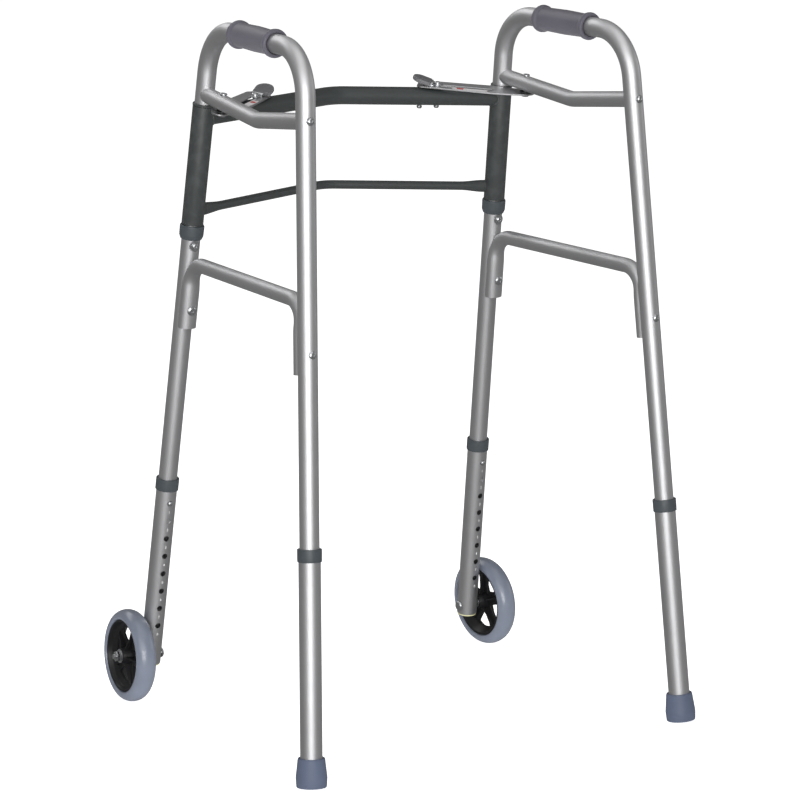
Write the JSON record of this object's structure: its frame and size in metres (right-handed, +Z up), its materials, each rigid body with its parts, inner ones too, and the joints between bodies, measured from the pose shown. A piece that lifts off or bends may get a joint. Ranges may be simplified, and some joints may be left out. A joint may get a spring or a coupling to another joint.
{
  "type": "walking frame",
  "caption": "Folding height-adjustable walking frame: two inverted-U side frames hinged on a front crossbar frame, with front wheels and rear rubber tips.",
  "frame": {"origin": "floor level under the centre of the bounding box", "axes": "+X to the user's right, +Y the way the frame is pushed, +Z up"},
  "size_m": [0.6322, 0.5681, 0.9462],
  "materials": {
    "anodised": "satin anodised",
    "frontPaint": "satin paint",
    "grip": "matte vinyl",
    "collar": "matte",
    "tip": "matte",
    "tyre": "matte",
    "hub": "satin moulded",
    "steel": "zinc plated",
    "paddle": "satin moulded",
    "black": "satin moulded",
    "plug": "satin moulded"
  },
  "bodies": {
    "front": {"front_frame": "frontPaint", "right_slot_pin": "steel", "left_slot_pin": "steel", "right_lock_pin": "steel", "left_lock_pin": "steel"},
    "right_side": {"right_leg_frame": "anodised", "right_grip": "grip", "right_upper_brace": "anodised", "right_upper_screw": "steel", "right_lower_brace": "anodised", "right_front_brace_rivet": "steel", "right_rear_brace_rivet": "steel", "right_top_bush": "black", "right_sleeve_collar": "collar", "right_stop_bolt": "steel", "right_plate_rivet": "steel", "right_plate_spacer": "black"},
    "right_latch": {"right_latch_plate": "steel"},
    "right_latch_slider": {"right_slot_pin_head": "steel"},
    "right_release": {"right_paddle": "paddle"},
    "right_front_foot": {"right_front_extension": "anodised", "right_front_extension_collar": "collar", "right_end_plug": "plug", "right_axle_bolt": "steel", "right_axle_nut": "steel"},
    "right_rear_foot": {"right_rear_extension": "anodised", "right_rear_extension_collar": "collar", "right_rear_tip": "tip"},
    "right_wheel": {"right_tyre": "tyre", "right_hub": "hub"},
    "right_front_snap": {"right_front_button": "steel"},
    "right_rear_snap": {"right_rear_button": "steel"},
    "left_side": {"left_leg_frame": "anodised", "left_grip": "grip", "left_upper_brace": "anodised", "left_upper_screw": "steel", "left_lower_brace": "anodised", "left_front_brace_rivet": "steel", "left_rear_brace_rivet": "steel", "left_top_bush": "black", "left_sleeve_collar": "collar", "left_stop_bolt": "steel", "left_plate_rivet": "steel", "left_plate_spacer": "black"},
    "left_latch": {"left_latch_plate": "steel"},
    "left_latch_slider": {"left_slot_pin_head": "steel"},
    "left_release": {"left_paddle": "paddle"},
    "left_front_foot": {"left_front_extension": "anodised", "left_front_extension_collar": "collar", "left_end_plug": "plug", "left_axle_bolt": "steel", "left_axle_nut": "steel"},
    "left_rear_foot": {"left_rear_extension": "anodised", "left_rear_extension_collar": "collar", "left_rear_tip": "tip"},
    "left_wheel": {"left_tyre": "tyre", "left_hub": "hub"},
    "left_front_snap": {"left_front_button": "steel"},
    "left_rear_snap": {"left_rear_button": "steel"}
  },
  "joints": [
    {"name": "right_fold", "type": "hinge", "parent": "front", "child": "right_side", "pos_m": [0.2351, 0.10225, 0.8], "axis": [0.0331, 0.156, -0.9872], "range_deg": [0, 57]},
    {"name": "right_latch_swing", "type": "hinge", "parent": "right_side", "child": "right_latch", "pos_m": [0.23741, 0.04438, 0.8209], "axis": [-0.0359, -0.1264, 0.9913], "range_deg": [0, 46.68]},
    {"name": "right_pin_travel", "type": "slide", "parent": "right_latch", "child": "right_latch_slider", "axis": [0.7699, -0.6338, -0.0743], "range_m": [0, 0.0487]},
    {"name": "right_release_press", "type": "hinge", "parent": "right_latch", "child": "right_release", "pos_m": [0.13037, 0.12509, 0.83553], "axis": [-0.6373, -0.7576, -0.1411], "range_deg": [0, 10], "stiffness_Nm_per_rad": 1},
    {"name": "right_front_height", "type": "slide", "parent": "right_side", "child": "right_front_foot", "axis": [-0.0331, -0.156, 0.9872], "range_m": [0, 0.1524]},
    {"name": "right_rear_height", "type": "slide", "parent": "right_side", "child": "right_rear_foot", "axis": [-0.0468, 0.0873, 0.9951], "range_m": [0, 0.1524]},
    {"name": "right_wheel_spin", "type": "hinge", "parent": "right_front_foot", "child": "right_wheel", "pos_m": [0.29123, 0.2205, 0.06383], "axis": [0.9976, 0.0548, 0.0421], "continuous": true},
    {"name": "right_front_snap_press", "type": "slide", "parent": "right_side", "child": "right_front_snap", "axis": [-0.0607, 0.9862, 0.1538], "range_m": [0, 0.0032], "stiffness_N_per_m": 900},
    {"name": "right_rear_snap_press", "type": "slide", "parent": "right_side", "child": "right_rear_snap", "axis": [0.0509, -0.9947, 0.0896], "range_m": [0, 0.0032], "stiffness_N_per_m": 900},
    {"name": "left_fold", "type": "hinge", "parent": "front", "child": "left_side", "pos_m": [-0.2351, 0.10225, 0.8], "axis": [0.0331, -0.156, 0.9872], "range_deg": [0, 82]},
    {"name": "left_latch_swing", "type": "hinge", "parent": "left_side", "child": "left_latch", "pos_m": [-0.23741, 0.04438, 0.8209], "axis": [-0.0359, 0.1264, -0.9913], "range_deg": [0, 79.05]},
    {"name": "left_pin_travel", "type": "slide", "parent": "left_latch", "child": "left_latch_slider", "axis": [-0.7699, -0.6338, -0.0743], "range_m": [0, 0.07075]},
    {"name": "left_release_press", "type": "hinge", "parent": "left_latch", "child": "left_release", "pos_m": [-0.13037, 0.12509, 0.83553], "axis": [-0.6373, 0.7576, 0.1411], "range_deg": [0, 10], "stiffness_Nm_per_rad": 1},
    {"name": "left_front_height", "type": "slide", "parent": "left_side", "child": "left_front_foot", "axis": [0.0331, -0.156, 0.9872], "range_m": [0, 0.1524]},
    {"name": "left_rear_height", "type": "slide", "parent": "left_side", "child": "left_rear_foot", "axis": [0.0468, 0.0873, 0.9951], "range_m": [0, 0.1524]},
    {"name": "left_wheel_spin", "type": "hinge", "parent": "left_front_foot", "child": "left_wheel", "pos_m": [-0.29123, 0.2205, 0.06383], "axis": [-0.9976, 0.0548, 0.0421], "continuous": true},
    {"name": "left_front_snap_press", "type": "slide", "parent": "left_side", "child": "left_front_snap", "axis": [0.0607, 0.9862, 0.1538], "range_m": [0, 0.0032], "stiffness_N_per_m": 900},
    {"name": "left_rear_snap_press", "type": "slide", "parent": "left_side", "child": "left_rear_snap", "axis": [-0.0509, -0.9947, 0.0896], "range_m": [0, 0.0032], "stiffness_N_per_m": 900}
  ],
  "couplings": [
    {"joint": "right_latch_swing", "follows": "right_fold", "ratio": 0.81878},
    {"joint": "right_pin_travel", "follows": "right_fold", "m_per_rad": 0.048946},
    {"joint": "left_latch_swing", "follows": "left_fold", "ratio": 0.96393},
    {"joint": "left_pin_travel", "follows": "left_fold", "m_per_rad": 0.049428}
  ]
}
